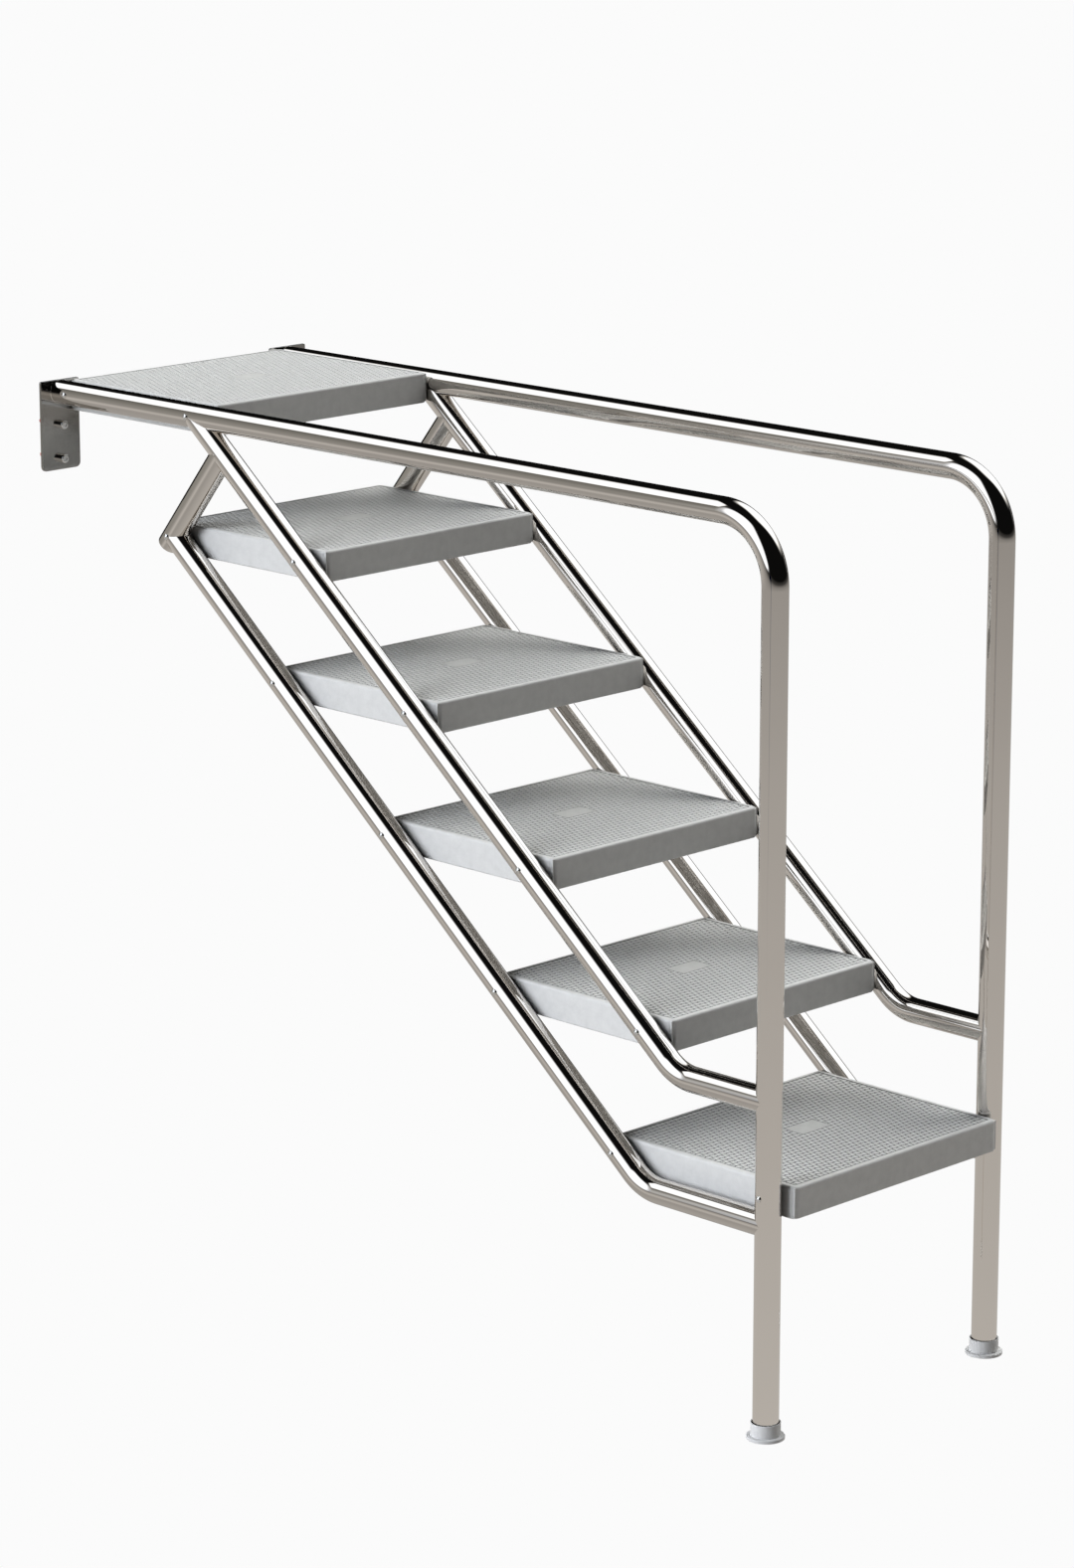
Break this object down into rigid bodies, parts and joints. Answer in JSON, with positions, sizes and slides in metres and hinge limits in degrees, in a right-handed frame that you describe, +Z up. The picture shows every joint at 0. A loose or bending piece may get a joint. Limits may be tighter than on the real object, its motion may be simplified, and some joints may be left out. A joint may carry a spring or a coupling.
{
  "type": "boarding ladder",
  "caption": "Wall-fixed boarding ladder of polished steel tube with two handrails, a top platform and wide moulded treads.",
  "frame": {"origin": "on the floor, at the middle of the ladder's plan, wall plugs included", "axes": "+X points away from the wall, the way a person walks down; +Y points to the right-hand side frame; +Z is up"},
  "size_m": [1.7968, 0.6304, 1.5159],
  "materials": {
    "tube_steel": "mirror-polished stainless steel tube",
    "plate_steel": "polished stainless steel plate",
    "fastener_steel": "bright stainless steel fasteners",
    "tread_plastic": "light grey moulded plastic with a fine raised grid",
    "foot_plastic": "pale grey moulded plastic",
    "plug_plastic": "brick-red plastic wall plug"
  },
  "bodies": {
    "root": {"left_rail": "tube_steel", "left_front_stringer": "tube_steel", "left_rear_stringer": "tube_steel", "left_brace": "tube_steel", "left_brace_cap": "tube_steel", "left_wall_plate": "plate_steel", "left_upper_wall_bolt": "fastener_steel", "left_upper_wall_plug": "plug_plastic", "left_lower_wall_bolt": "fastener_steel", "left_lower_wall_plug": "plug_plastic", "left_foot": "foot_plastic", "right_rail": "tube_steel", "right_front_stringer": "tube_steel", "right_rear_stringer": "tube_steel", "right_brace": "tube_steel", "right_brace_cap": "tube_steel", "right_wall_plate": "plate_steel", "right_upper_wall_bolt": "fastener_steel", "right_upper_wall_plug": "plug_plastic", "right_lower_wall_bolt": "fastener_steel", "right_lower_wall_plug": "plug_plastic", "right_foot": "foot_plastic", "platform": "tread_plastic", "tread_1": "tread_plastic", "tread_2": "tread_plastic", "tread_3": "tread_plastic", "tread_4": "tread_plastic", "tread_5": "tread_plastic", "platform_left_rear_screw": "fastener_steel", "platform_left_front_screw": "fastener_steel", "platform_right_rear_screw": "fastener_steel", "platform_right_front_screw": "fastener_steel", "tread_1_left_rear_screw": "fastener_steel", "tread_1_left_front_screw": "fastener_steel", "tread_1_right_rear_screw": "fastener_steel", "tread_1_right_front_screw": "fastener_steel", "tread_2_left_rear_screw": "fastener_steel", "tread_2_left_front_screw": "fastener_steel", "tread_2_right_rear_screw": "fastener_steel", "tread_2_right_front_screw": "fastener_steel", "tread_3_left_rear_screw": "fastener_steel", "tread_3_left_front_screw": "fastener_steel", "tread_3_right_rear_screw": "fastener_steel", "tread_3_right_front_screw": "fastener_steel", "tread_4_left_rear_screw": "fastener_steel", "tread_4_left_front_screw": "fastener_steel", "tread_4_right_rear_screw": "fastener_steel", "tread_4_right_front_screw": "fastener_steel", "tread_5_left_rear_screw": "fastener_steel", "tread_5_left_front_screw": "fastener_steel", "tread_5_right_rear_screw": "fastener_steel", "tread_5_right_front_screw": "fastener_steel"}
  },
  "joints": []
}
